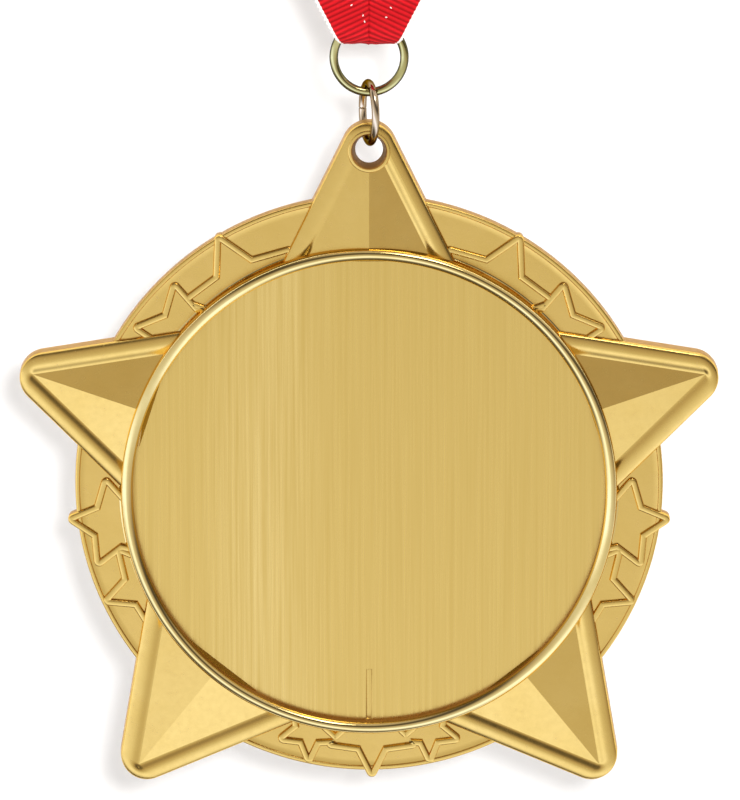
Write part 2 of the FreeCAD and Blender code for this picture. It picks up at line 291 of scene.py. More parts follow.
def make_cloud_group():
    """Soft uneven patches: a mask between 0 and 1."""
    group, start, end = group_of(
        "plating_cloud",
        [("Vector", "NodeSocketVector", None), ("Scale", "NodeSocketFloat", 60.0)],
        [("Mask", "NodeSocketFloat")],
    )
    patches = noise(group, start.outputs["Vector"], 1.0, 4.0, 0.55)
    group.links.new(start.outputs["Scale"], patches.node.inputs["Scale"])
    group.links.new(ranged(group, patches, 0.0, 1.0, 0.3, 0.7), end.inputs["Mask"])
    return group


def make_grain_group():
    """Fine straight scratches along Z: a height and a mask of the stronger streaks."""
    group, start, end = group_of(
        "brushed_grain",
        [("Vector", "NodeSocketVector", None)],
        [("Height", "NodeSocketFloat"), ("Streaks", "NodeSocketFloat")],
    )
    vector = start.outputs["Vector"]
    fine = noise(group, stretched(group, vector, (14000, 1, 260)), 1.0, 3.0, 0.6)
    wide = noise(group, stretched(group, vector, (2600, 1, 34)), 1.0, 5.0, 0.62)
    group.links.new(calc(group, "ADD", fine, wide), end.inputs["Height"])
    group.links.new(ranged(group, wide, 0.0, 1.0, 0.35, 0.72), end.inputs["Streaks"])
    return group


def make_wear_group():
    """A mask that is high along the object's convex edges, broken up by fine noise."""
    group, start, end = group_of(
        "edge_wear",
        [("Vector", "NodeSocketVector", None), ("Amount", "NodeSocketFloat", 1.0)],
        [("Mask", "NodeSocketFloat")],
    )
    geometry = node(group, "ShaderNodeNewGeometry")
    edges = ranged(group, geometry.outputs["Pointiness"], 0.0, 1.0, 0.52, 0.6)
    broken = calc(group, "MULTIPLY", edges, noise(group, start.outputs["Vector"], 900.0, 3.0))
    scaled = calc(group, "MULTIPLY", broken, start.outputs["Amount"], clamp=True)
    group.links.new(scaled, end.inputs["Mask"])
    return group


CLOUD = make_cloud_group()
GRAIN = make_grain_group()
WEAR = make_wear_group()


def placed(tree, group, **values):
    """A node group placed in a material, with its values, reading Object coordinates."""
    made = tree.nodes.new("ShaderNodeGroup")
    made.node_tree = group
    for key, value in values.items():
        made.inputs[key].default_value = value
    coords = node(tree, "ShaderNodeTexCoord")
    tree.links.new(coords.outputs["Object"], made.inputs["Vector"])
    return made


def bumped(tree, shader, height, strength, distance):
    """A Bump node from a height into the shader's Normal."""
    bump = node(tree, "ShaderNodeBump", Strength=strength, Distance=distance)
    tree.links.new(height, bump.inputs["Height"])
    tree.links.new(bump.outputs["Normal"], shader.inputs["Normal"])


def plated(name, dull, bright, smooth, rough):
    """Plated cast metal: cloudy colour and gloss over a faintly uneven skin."""
    material, tree, shader = new_material(name)
    cloud = placed(tree, CLOUD, Scale=170.0)
    fine = placed(tree, CLOUD, Scale=1500.0)
    wear = placed(tree, WEAR, Amount=0.7)
    tint = calc(tree, "ADD", cloud.outputs["Mask"], wear.outputs["Mask"], clamp=True)
    tree.links.new(mixed_colour(tree, tint, dull, bright), shader.inputs["Base Color"])
    tree.links.new(ranged(tree, fine.outputs["Mask"], smooth, rough), shader.inputs["Roughness"])
    shader.inputs["Metallic"].default_value = 1.0
    shader.inputs["Specular Tint"].default_value = (1.0, 0.78, 0.42, 1)
    bumped(tree, shader, cloud.outputs["Mask"], 0.5, 0.02 * MM)
    return material


def in_shadow(material):
    """Makes a plated material less metallic and glossy, for the painted shade given to steep cast
    walls.
    """
    shader = material.node_tree.nodes["Principled BSDF"]
    shader.inputs["Metallic"].default_value = 0.30
    shader.inputs["Specular IOR Level"].default_value = 0.12
    return material


def with_painted_edge_shade(material, painted_shade_colour):
    """Paints shade into a polished wire's colour where it turns away from the eye: painted dark
    reflections at its edges.
    """
    tree = material.node_tree
    shader = tree.nodes["Principled BSDF"]
    plain = shader.inputs["Base Color"].links[0].from_socket
    facing = node(tree, "ShaderNodeLayerWeight", Blend=0.42)
    edge = ranged(tree, facing.outputs["Facing"], 0.0, 1.0, 0.06, 0.5, smooth=True)
    tree.links.new(mixed_colour(tree, edge, plain, painted_shade_colour), shader.inputs["Base Color"])
    shader.inputs["Specular Tint"].default_value = (0.25, 0.22, 0.12, 1)
    return material


def brushed(name, dull, bright, smooth, rough):
    """Plated metal brushed straight up and down; its streaks are brighter in a band across X, a
    painted reflection.
    """
    material, tree, shader = new_material(name)
    grain = placed(tree, GRAIN)
    across = node(tree, "ShaderNodeSeparateXYZ")
    coords = node(tree, "ShaderNodeTexCoord")
    tree.links.new(coords.outputs["Object"], across.inputs["Vector"])
    # The real brushed streaks are brightened in a band across X: a painted reflection.
    away = calc(tree, "SUBTRACT", across.outputs["X"], BRUSHED_SHEEN_BAND_X)
    away = calc(tree, "ABSOLUTE", away)
    band = ranged(tree, away, 1.0, 0.30, 0.0, BRUSHED_SHEEN_BAND_REACH, smooth=True)
    streaks = grain.outputs["Streaks"]
    colour = mixed_colour(tree, calc(tree, "MULTIPLY", streaks, band), dull, bright)
    tree.links.new(colour, shader.inputs["Base Color"])
    tree.links.new(ranged(tree, streaks, rough, smooth), shader.inputs["Roughness"])
    shader.inputs["Metallic"].default_value = 1.0
    shader.inputs["Anisotropic"].default_value = 0.5
    bumped(tree, shader, grain.outputs["Height"], 0.16, 0.012 * MM)
    return material


def woven(name, base, painted_shade_colour, white=None):
    """Ribbed ribbon: U runs along it and V across it, both in metres from the outer edge."""
    material, tree, shader = new_material(name)
    uv = node(tree, "ShaderNodeUVMap", uv_map="weave")
    split = node(tree, "ShaderNodeSeparateXYZ")
    tree.links.new(uv.outputs["UV"], split.inputs["Vector"])
    fibres = noise(tree, stretched(tree, uv.outputs["UV"], (5200, 14000, 1)), 1.0, 3.0, 0.6)
    wave = calc(tree, "MULTIPLY", split.outputs["X"], 2 * math.pi / RIB_PITCH)
    ridge = ranged(tree, calc(tree, "COSINE", wave), 0.0, 1.0, -1.0)
    depth = calc(tree, "MULTIPLY", ridge, ranged(tree, fibres, 0.7, 1.3), clamp=True)
    # The valleys between the ribs get the darker colour: painted shade.
    colour = mixed_colour(tree, depth, painted_shade_colour, base)
    if white:
        across = split.outputs["Y"]
        nearest = calc(tree, "MINIMUM", across, calc(tree, "SUBTRACT", RIBBON_WIDTH, across))
        edge = ranged(tree, nearest, 1.0, 0.0, SELVEDGE, SELVEDGE + 0.06 * MM)
        colour = mixed_colour(tree, edge, colour, white)
    tree.links.new(colour, shader.inputs["Base Color"])
    tree.links.new(ranged(tree, fibres, 0.55, 0.85), shader.inputs["Roughness"])
    shader.inputs["Specular IOR Level"].default_value = 0.22
    bumped(tree, shader, depth, 0.5, 0.05 * MM)
    return material


RIB_PITCH = 0.55 * MM
RIBBON_WIDTH = 22.2 * MM
SELVEDGE = 0.24 * MM

BRUSHED_SHEEN_BAND_X = -11.5 * MM       # middle of a band of brighter streaks, a painted reflection over the real brushing
BRUSHED_SHEEN_BAND_REACH = 9.0 * MM

GOLD = plated("gold_plate", (0.77, 0.52, 0.135), (0.81, 0.55, 0.155), 0.20, 0.28)
GOLD_FACET = plated("gold_facet", (0.78, 0.53, 0.14), (0.82, 0.57, 0.165), 0.20, 0.28)
# The rim's gold is paler than the rest of the plating as a painted highlight; its lower roughness is
# its real polish.
GOLD_RIM_PAINTED_HIGHLIGHT = plated("gold_rim_painted_highlight", (0.85, 0.65, 0.24), (0.92, 0.75, 0.34), 0.05, 0.10)
# The floor's brighter streaks in a band across X are a painted reflection over real brushing.
GOLD_FLOOR = brushed("gold_brushed", (0.77, 0.53, 0.14), (0.94, 0.69, 0.24), 0.22, 0.34)
# The next two darker brown golds are painted shade on steep walls and in holes, not the plating's
# own colour.
GOLD_WALL_PAINTED_SHADE = in_shadow(plated("gold_wall_painted_shade", (0.46, 0.24, 0.05), (0.54, 0.30, 0.075), 0.28, 0.42))
GOLD_PAINTED_SHADE = in_shadow(plated("gold_painted_shade", (0.30, 0.12, 0.016), (0.44, 0.20, 0.035), 0.3, 0.45))
# Both rings' dark edge colours are painted shade and reflection, not the brass's own colour.
PALE_BRASS = with_painted_edge_shade(
    plated("pale_brass", (0.76, 0.62, 0.43), (0.88, 0.74, 0.54), 0.05, 0.14), (0.30, 0.20, 0.10)
)
RING_BRASS = with_painted_edge_shade(
    plated("ring_brass", (0.50, 0.45, 0.17), (0.70, 0.64, 0.30), 0.04, 0.11), (0.012, 0.015, 0.004)
)
# The second colour of the red ribbon is painted shade in its rib valleys.
RED_RIBBON = woven("red_grosgrain", (0.60, 0.007, 0.013), (0.26, 0.002, 0.004), (0.92, 0.86, 0.82))
SEWING_THREAD, _, thread_shader = new_material("sewing_thread")
thread_shader.inputs["Base Color"].default_value = (0.82, 0.78, 0.74, 1)
thread_shader.inputs["Roughness"].default_value = 0.7
# The white band's second colour is painted shade in its rib valleys.
WHITE_BAND = woven("white_band", (0.80, 0.79, 0.76), (0.52, 0.51, 0.49))


# Casting ------------------------------------------------------------------------------------


def make_disc():
    """The back disc with its bead, drafted edge and rounded corners."""
    centre_z = RIM_Z + DISC_LIFT
    band = DISC_FACE + 0.09 * MM
    profile = [(0.0, 0.0), (DISC_R - 0.15 * MM, 0.0)]
    profile += arc((DISC_R - 0.15 * MM, 0.15 * MM), 0.15 * MM, -90, 0, 4)[1:]
    profile += arc((DISC_R - 0.24 * MM, band - 0.17 * MM), 0.17 * MM, 10, 90, 5)
    profile += arc((DISC_R - 0.46 * MM, band - 0.07 * MM), 0.07 * MM, 90, 175, 4)
    profile += arc((DISC_R - 0.60 * MM, DISC_FACE + 0.05 * MM), 0.05 * MM, 350, 270, 3)
    profile += [(DISC_R - 1.2 * MM, DISC_FACE), (RECESS_R - 1 * MM, DISC_FACE)]
    mesh = lathe(profile, 0, centre_z)
    shade(mesh)
    # Steep walls get a darker gold as painted shade.
    paint_shade_on_walls(mesh, DISC_FACE - 0.15 * MM)
    finish_mesh(
        mesh, "medal_disc", "medal", [GOLD, GOLD_WALL_PAINTED_SHADE], ["star_casting"]
    )


def make_rim():
    """The polished round rim, with a short straight wall down to the recess floor."""
    middle = (RECESS_R + RIM_OUTER_R) / 2
    radius = (RIM_OUTER_R - RECESS_R) / 2
    top = CREST - radius
    profile = [(RECESS_R, FLOOR - 0.4 * MM), (RECESS_R, FLOOR)]
    profile += [(RECESS_R, FLOOR + (top - FLOOR) * k / 3) for k in (1, 2)]
    profile += arc((middle, top), radius, 180, 0, 18)
    profile += [(RIM_OUTER_R, DISC_FACE + 0.5 * MM)]
    profile += arc((RIM_OUTER_R + 0.3 * MM, DISC_FACE + 0.3 * MM), 0.3 * MM, 180, 262, 5)
    profile += [(RIM_OUTER_R + 0.35 * MM, DISC_FACE - 0.3 * MM)]
    mesh = lathe(profile, 0, RIM_Z)
    shade(mesh, 50)
    # The rim's inner wall gets a dark brown gold as painted shade.
    paint_shade_round(mesh, 0, RIM_Z, RECESS_R + 0.01 * MM, 1)
    finish_mesh(mesh, "medal_rim", "medal", [GOLD_RIM_PAINTED_HIGHLIGHT, GOLD_PAINTED_SHADE])


def box_mesh(low, high):
    """A box between two corners as a bmesh."""
    mesh = bmesh.new()
    size = Vector(high) - Vector(low)
    centre = (Vector(high) + Vector(low)) / 2
    place = Matrix.Translation(centre) @ Matrix.Diagonal((*size, 1))
    bmesh.ops.create_cube(mesh, size=1.0, matrix=place)
    return mesh


def make_floor():
    """The brushed recess floor with its short groove at the bottom."""
    radius = RECESS_R + 0.3 * MM
    under = FLOOR - 0.8 * MM
    mesh = lathe([(0, under), (radius, under), (radius, FLOOR), (0, FLOOR)], 0, RIM_Z, 192)
    face_y = BACK_Y - FLOOR
    groove = box_mesh(
        (-GROOVE_HALF, face_y - 0.5 * MM, RIM_Z - RECESS_R + 0.15 * MM),
        (GROOVE_HALF, face_y + GROOVE_DEPTH, RIM_Z - 20.1 * MM),
    )
    mesh = cut_away(mesh, groove)
    shade(mesh, 30)
    piece = finish_mesh(mesh, "recess_floor", "medal", [GOLD_FLOOR])
    edge = piece.modifiers.new("worn_edge", "BEVEL")
    edge.width = 0.05 * MM
    edge.segments = 2
    edge.limit_method = "ANGLE"
    edge.angle_limit = math.radians(40)


BORDER = [          # (distance from the outer edge, depth) across an arm's border, in mm
    (0.00, 0.02), (0.10, 1.90), (0.13, 2.08), (0.18, 2.20), (0.26, 2.29), (0.38, 2.35),
    (0.60, 2.40), (0.90, 2.44), (1.20, 2.455), (1.45, 2.44), (1.65, 2.40), (1.82, 2.34),
    (1.96, 2.28), (2.10, 2.23), (2.22, 2.205), (2.31, 2.20),
]


def half_arm(reach, half_angle):
    """The right half of an arm that points up from the star's centre, facet and all."""
    half = math.radians(half_angle)
    root = 17 * MM
    width = BORDER[-1][0] * MM
    mesh = bmesh.new()
    loops = []
    for inset_mm, depth in BORDER:
        inset = inset_mm * MM
        rounding = TIP_R * (1 - inset / width)
        apex = reach - inset / math.sin(half)
        points = [((apex - root) * math.tan(half), root)]
        points += arc((0, apex - rounding / math.sin(half)), rounding, half_angle, 90, 14)
        loops.append([mesh.verts.new((x, BACK_Y - depth * MM, z)) for x, z in points])
    for outer, inner in zip(loops, loops[1:]):
        for k in range(len(outer) - 1):
            mesh.faces.new((outer[k], outer[k + 1], inner[k + 1], inner[k]))
    for loop in (loops[0], loops[-1]):
        mesh.faces.new(loop + [mesh.verts.new((0, loop[0].co.y, root))])
    bmesh.ops.remove_doubles(mesh, verts=mesh.verts, dist=MERGE)
    bmesh.ops.dissolve_degenerate(mesh, dist=MERGE, edges=mesh.edges)
    for vert in mesh.verts:
        if abs(vert.co.x) < MERGE:
            vert.co.x = 0
    return mesh


def make_arm(name, direction, reach, half_angle):
    """An arm: half of it is trimmed at the rim and mirrored, so its ridge is exact."""
    mesh = half_arm(reach, half_angle)
    # The star's centre is a little above the rim's, so the trim is taken about the rim's centre.
    turn = math.radians(direction)
    rim_centre = Vector((STAR_LIFT * math.sin(turn), 0, -STAR_LIFT * math.cos(turn)))
    trim_turn = math.radians(10)
    trim = Vector((math.sin(trim_turn), 0, math.cos(trim_turn)))
    everything = list(mesh.verts) + list(mesh.edges) + list(mesh.faces)
    bmesh.ops.bisect_plane(
        mesh,
        geom=everything,
        plane_co=rim_centre + trim * (RECESS_R + 0.05 * MM),
        plane_no=trim,
        clear_inner=True,
    )
    on_axis = [v for v in mesh.verts if abs(v.co.x) < MERGE and v.co.y < BACK_Y - 2.1 * MM]
    ridge_end = min(on_axis, key=lambda v: v.co.z)
    ridge_end.co.y = BACK_Y - RIDGE_FACE
    facet = max(ridge_end.link_faces, key=lambda f: f.calc_area())
    start = list(facet.verts).index(ridge_end)
    around = list(facet.verts)[start + 1:] + list(facet.verts)[:start]
    bmesh.ops.delete(mesh, geom=[facet], context="FACES_ONLY")
    for before, after in zip(around, around[1:]):
        mesh.faces.new((ridge_end, before, after))
    bmesh.ops.mirror(
        mesh,
        geom=list(mesh.verts) + list(mesh.edges) + list(mesh.faces),
        matrix=Matrix.Identity(4),
        merge_dist=1e-6,
        axis="X",
    )
    bmesh.ops.remove_doubles(mesh, verts=mesh.verts, dist=2e-6)
    open_edges = [edge for edge in mesh.edges if edge.is_boundary]
    bmesh.ops.holes_fill(mesh, edges=open_edges, sides=0)
    bmesh.ops.recalc_face_normals(mesh, faces=mesh.faces)
    shade(mesh, 28)
    for edge in mesh.edges:
        on_ridge = all(abs(v.co.x) < MERGE and v.co.y < BACK_Y - 2.15 * MM for v in edge.verts)
        if on_ridge:
            edge.smooth = False
    for face in mesh.faces:
        if face.calc_area() > 6e-6 or ridge_end in face.verts:
            face.smooth = False
    turned(mesh, direction, "Y")
    bmesh.ops.translate(mesh, verts=mesh.verts, vec=(0, 0, RIM_Z + STAR_LIFT))
    # Steep walls get a darker gold as painted shade.
    paint_shade_on_walls(mesh, 1.9 * MM)
    if name == "top":
        mesh = cut_away(mesh, hole_tool())
        # The hole's wall gets a dark brown gold as painted shade.
        paint_shade_round(mesh, 0, RIM_Z + HOLE_LIFT, 2.05 * MM, 2)
    finish_mesh(
        mesh, f"star_arm_{name}", "medal", [GOLD_FACET, GOLD_WALL_PAINTED_SHADE, GOLD_PAINTED_SHADE]
    )


def hole_tool():
    """The solid that makes the tapered hole, flared a little at both mouths."""
    front = 2.66 * MM
    profile = [
        (0, -0.5 * MM),
        (2.2 * MM, -0.5 * MM),
        (1.82 * MM, 0.02 * MM),
        (1.62 * MM, 0.3 * MM),
        (1.5 * MM, 0.7 * MM),
        (1.84 * MM, 2.3 * MM),
        (1.9 * MM, 2.5 * MM),
        (2.02 * MM, front),
        (2.6 * MM, front + 1.0 * MM),
        (0, front + 1.0 * MM),
    ]
    return lathe(profile, 0, RIM_Z + HOLE_LIFT, 64)


def make_hole_pad():
    """The level pad round the hole, where the facets stop."""
    outer = 2.3 * MM
    top = 2.6 * MM
    profile = [(0, 0.4 * MM), (outer, 0.4 * MM), (outer, top - 0.1 * MM)]
    profile += arc((outer - 0.12 * MM, top - 0.12 * MM), 0.12 * MM, 20, 90, 3)
    profile += [(0, top)]
    mesh = lathe(profile, 0, RIM_Z + HOLE_LIFT, 96)
    mesh = cut_away(mesh, hole_tool())
    # The hole's wall gets a dark brown gold as painted shade.
    paint_shade_round(mesh, 0, RIM_Z + HOLE_LIFT, 2.05 * MM, 1)
    shade(mesh, 35)
    finish_mesh(mesh, "hole_pad", "medal", [GOLD_FACET, GOLD_PAINTED_SHADE])


def star_points(star, spread, rounding=0.0, steps=0):
    """An outline star whose sides are moved outwards by spread, as x and z.

    Its five points can be rounded, each by an arc of the same number of steps.
    """
    x, z, radius, share, direction = star
    inner = radius * share
    rise = inner * math.sin(math.pi / 5)
    run = radius - inner * math.cos(math.pi / 5)
    scale = 1 + spread * math.hypot(run, rise) / (radius * rise)
    slope = math.degrees(math.atan2(rise, run))
    points = []
    for corner in range(10):
        heading = direction + 36 * corner
        turn = math.radians(heading)
        if corner % 2:
            reach = scale * inner
            points.append((x + reach * math.cos(turn), z + reach * math.sin(turn)))
            continue
        reach = scale * radius - rounding / math.sin(math.radians(slope))
        middle = (x + reach * math.cos(turn), z + reach * math.sin(turn))
        side = 90 - slope
        points += arc(middle, rounding, heading - side, heading + side, steps) if steps else [middle]
    return points


def inside_star(x, z, star):
    """Whether a point, in millimetres, is inside an outline star."""
    points = star_points(star, 0)
    inside = False
    for (ax, az), (bx, bz) in zip(points, points[1:] + points[:1]):
        if (az > z) != (bz > z) and x < (bx - ax) * (z - az) / (bz - az) + ax:
            inside = not inside
    return inside


RIB_SECTION = [      # (distance outwards from the rib's middle, height above the disc) in mm
    (0.40, -0.10), (0.38, 0.10), (0.33, 0.36), (0.29, 0.42), (0.22, 0.45), (0.08, 0.46),
    (-0.08, 0.46), (-0.22, 0.45), (-0.29, 0.42), (-0.33, 0.36), (-0.38, 0.10), (-0.40, -0.10),
]
TIP_ROUND = 0.62     # radius of a rib's outer side at a point of the star, in mm


def make_rib(name, star, covers):
    """A flat-topped rib along an outline star, ending where another star covers it."""
    mesh = bmesh.new()
    loops = []
    for spread, height in RIB_SECTION:
        rounding = max(0.01, TIP_ROUND - (0.4 - spread))
        outline = star_points(star, spread, rounding, 6)
        fine = []
        for (ax, az), (bx, bz) in zip(outline, outline[1:] + outline[:1]):
            cuts = 24 if math.hypot(bx - ax, bz - az) > 0.7 else 1
            fine += [(ax + (bx - ax) * k / cuts, az + (bz - az) * k / cuts) for k in range(cuts)]
        y = BACK_Y - DISC_FACE - height * MM
        loops.append([mesh.verts.new((x * MM, y, RIM_Z + z * MM)) for x, z in fine])
    for outer, inner in zip(loops, loops[1:]):
        count = len(outer)
        for k in range(count):
            after = (k + 1) % count
            mesh.faces.new((outer[k], outer[after], inner[after], inner[k]))
    bmesh.ops.remove_doubles(mesh, verts=mesh.verts, dist=1e-8)
    hidden = []
    for face in mesh.faces:
        centre = face.calc_center_median()
        x, z = centre.x / MM, (centre.z - RIM_Z) / MM
        covered = any(inside_star(x, z, cover) for cover in covers)
        if math.hypot(x, z) < RECESS_R / MM + 0.4 or covered:
            hidden.append(face)
    bmesh.ops.delete(mesh, geom=hidden, context="FACES")
    bmesh.ops.recalc_face_normals(mesh, faces=mesh.faces)
    if sum(face.normal.y * face.calc_area() for face in mesh.faces) > 0:
        bmesh.ops.reverse_faces(mesh, faces=mesh.faces)
    shade(mesh, 40)
    finish_mesh(mesh, name, "medal", [GOLD_FACET])


def make_point_plate(name, star):
    """The solid edge of the disc under an outline star's points."""
    mesh = bmesh.new()
    outline = star_points(star, 0.38, 0.6, 6)
    y = BACK_Y - 0.02 * MM
    face = mesh.faces.new([mesh.verts.new((x * MM, y, RIM_Z + z * MM)) for x, z in outline])
    made = bmesh.ops.extrude_face_region(mesh, geom=[face])
    moved = [item for item in made["geom"] if isinstance(item, bmesh.types.BMVert)]
    bmesh.ops.translate(mesh, verts=moved, vec=(0, -(DISC_FACE - 0.03 * MM), 0))
    bmesh.ops.recalc_face_normals(mesh, faces=mesh.faces)
    soften(mesh, list(mesh.edges), 0.05 * MM)
    shade(mesh, 40)
    # Steep walls get a darker gold as painted shade.
    paint_shade_on_walls(mesh, DISC_FACE - 0.2 * MM)
    finish_mesh(mesh, name, "medal", [GOLD, GOLD_WALL_PAINTED_SHADE])


def mirrored_star(star):
    """The same outline star on the left side."""
    x, z, radius, share, direction = star
    return (-x, z, radius, share, 180 - direction)


def make_outline_stars():
    """All the raised outline stars between the arms."""
    feet = [OUTLINE_GROUPS["foot"][0], mirrored_star(OUTLINE_GROUPS["foot"][0])]
    make_rib("outline_star_bottom", OUTLINE_BOTTOM, feet)
    make_point_plate("point_plate_bottom", OUTLINE_BOTTOM)
    for group, stars in OUTLINE_GROUPS.items():
        for side in ("right", "left"):
            placed_stars = stars if side == "right" else [mirrored_star(star) for star in stars]
            for place, star in enumerate(placed_stars):
                covers = placed_stars[place + 1:] if group != "foot" else [OUTLINE_BOTTOM]
                make_rib(f"outline_star_{group}_{side}_{place + 1}", star, covers)
                make_point_plate(f"point_plate_{group}_{side}_{place + 1}", star)


# Rings --------------------------------------------------------------------------------------


def make_ring(name, replaced, body, material, radius, wire, twist, split):
    """A wire ring about the middle of the plain one it replaces, with a fine gap if split."""
    low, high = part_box(replaced)
    mesh = bmesh.new()
    place = Matrix.Translation((radius, 0, 0))
    bmesh.ops.create_circle(mesh, cap_ends=False, segments=28, radius=wire, matrix=place)
    turned(mesh, 90, "X", (radius, 0, 0))
    gap = split / radius
    turned(mesh, math.degrees(gap / 2), "Z")
    bmesh.ops.spin(
        mesh,
        geom=list(mesh.verts) + list(mesh.edges),
        cent=(0, 0, 0),
        axis=(0, 0, 1),
        angle=2 * math.pi - gap,
        steps=144,
        use_merge=split == 0,
    )
    if split:
        ends = [edge for edge in mesh.edges if edge.is_boundary]
        caps = bmesh.ops.holes_fill(mesh, edges=ends, sides=0)["faces"]
        soften(mesh, list({edge for face in caps for edge in face.edges}), 0.05 * MM)
    else:
        bmesh.ops.remove_doubles(mesh, verts=mesh.verts, dist=MERGE)
    bmesh.ops.recalc_face_normals(mesh, faces=mesh.faces)
    # The ring is spun lying flat with its gap towards +X, then stood up facing -Y or turned.
    turned(mesh, 90, "X")
    turned(mesh, twist, "Z")
    bmesh.ops.translate(mesh, verts=mesh.verts, vec=(low + high) / 2)
    shade(mesh, 50)
    finish_mesh(mesh, name, body, [material], [replaced])


# Ribbon -------------------------------------------------------------------------------------

TAIL = math.radians(26.1)         # each tail's lean from straight up
LOOP_Z = JOINTS["ring_swing"]["pos_m"][2]
LOOP_R = -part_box("ribbon_v")[0].y
LOOP_HALF = 2.85 * MM
V_FRONT = 0.5 * MM
HANK_LOW, HANK_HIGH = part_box("ribbon_hank")
RIB_STEPS = 4
CLOTH = 0.36 * MM
TAIL_PAST_FOLD = 30 * MM          # how far a tail's outer edge runs on after its fold
FOLD_BEND = 0.3 * MM
UV_START = 0.2                    # keeps the ribs' places above zero round the loop

# The loop's front layer leaves the V's face at LOOP_START and slants down to touch the loop.
LOOP_START = LOOP_Z + 2.6 * MM
LEAN = math.asin((LOOP_R - V_FRONT) / (LOOP_START - LOOP_Z))
TOUCH_Y = -LOOP_R * math.cos(LEAN)
TOUCH_Z = LOOP_Z + LOOP_R * math.sin(LEAN)
SLANT = math.hypot(TOUCH_Y + V_FRONT, LOOP_START - TOUCH_Z)
# Heights on the flat pattern: the loop's lowest line, and the ribbon's end behind the V.
PATTERN_LOW = LOOP_START - SLANT - LOOP_R * (math.pi / 2 + LEAN)
PATTERN_END = LOOP_START - 2 * SLANT - LOOP_R * (math.pi + 2 * LEAN) - 0.9 * MM


def weave(mesh, layer, rows, uvs, order):
    """Faces between rows of vertices, their corners in the given order, with the ribbon's UVs."""
    for lower, upper in zip(rows, rows[1:]):
        for corners in zip(lower, lower[1:], upper[1:], upper):
            face = mesh.faces.new([corners[k] for k in order])
            for loop in face.loops:
                loop[layer].uv = uvs[loop.vert]
    shade(mesh, 180)


def thicken(piece, thickness, offset):
    """Gives cloth its thickness."""
    cloth = piece.modifiers.new("cloth_thickness", "SOLIDIFY")
    cloth.thickness = thickness
    cloth.offset = offset


def loop_face(height):
    """(y, z) of the V's front layer for a height on the flat pattern, and its outward turn.

    Above the loop the layer hangs straight, and below it goes round the ring to the back.
    """
    if height >= LOOP_START:
        return -V_FRONT, height, 0.0
    if height >= LOOP_START - SLANT:
        share = (LOOP_START - height) / SLANT
        y = -V_FRONT + (TOUCH_Y + V_FRONT) * share
        return y, LOOP_START + (TOUCH_Z - LOOP_START) * share, LEAN
    turned_by = (LOOP_START - SLANT - height) / LOOP_R
    full = math.pi + 2 * LEAN
    if turned_by <= full:
        angle = LEAN - turned_by
        return -LOOP_R * math.cos(angle), LOOP_Z + LOOP_R * math.sin(angle), angle
    back = min((turned_by - full) * LOOP_R / SLANT, 1.6)
    share = min(back, 1.0)
    rise = (back - share) * SLANT
    y = -TOUCH_Y + (V_FRONT + TOUCH_Y) * share
    return y, TOUCH_Z + (LOOP_START - TOUCH_Z) * share + rise, math.pi


def fold_point(x, height, low_x, low_z):
    """A point of the right tail after it is folded back over the oblique fold.

    The fold line starts at low_x, low_z and leans so that the tail goes level behind the V.
    Returns x, height, and how far behind the front face the point lies.
    """
    line = (3 * math.pi / 2 - TAIL) / 2
    across = Vector((math.sin(line), -math.cos(line)))
    offset = Vector((x - low_x, height - low_z))
    past = offset.dot(across)
    if past <= 0:
        return x, height, 0.0
    turn = past / FOLD_BEND
    if turn < math.pi:
        reach = FOLD_BEND * math.sin(turn)
        depth = FOLD_BEND * (1 - math.cos(turn))
    else:
        reach = math.pi * FOLD_BEND - past
        depth = 2 * FOLD_BEND
    flat = offset + across * (reach - past)
    return low_x + flat.x, low_z + flat.y, depth


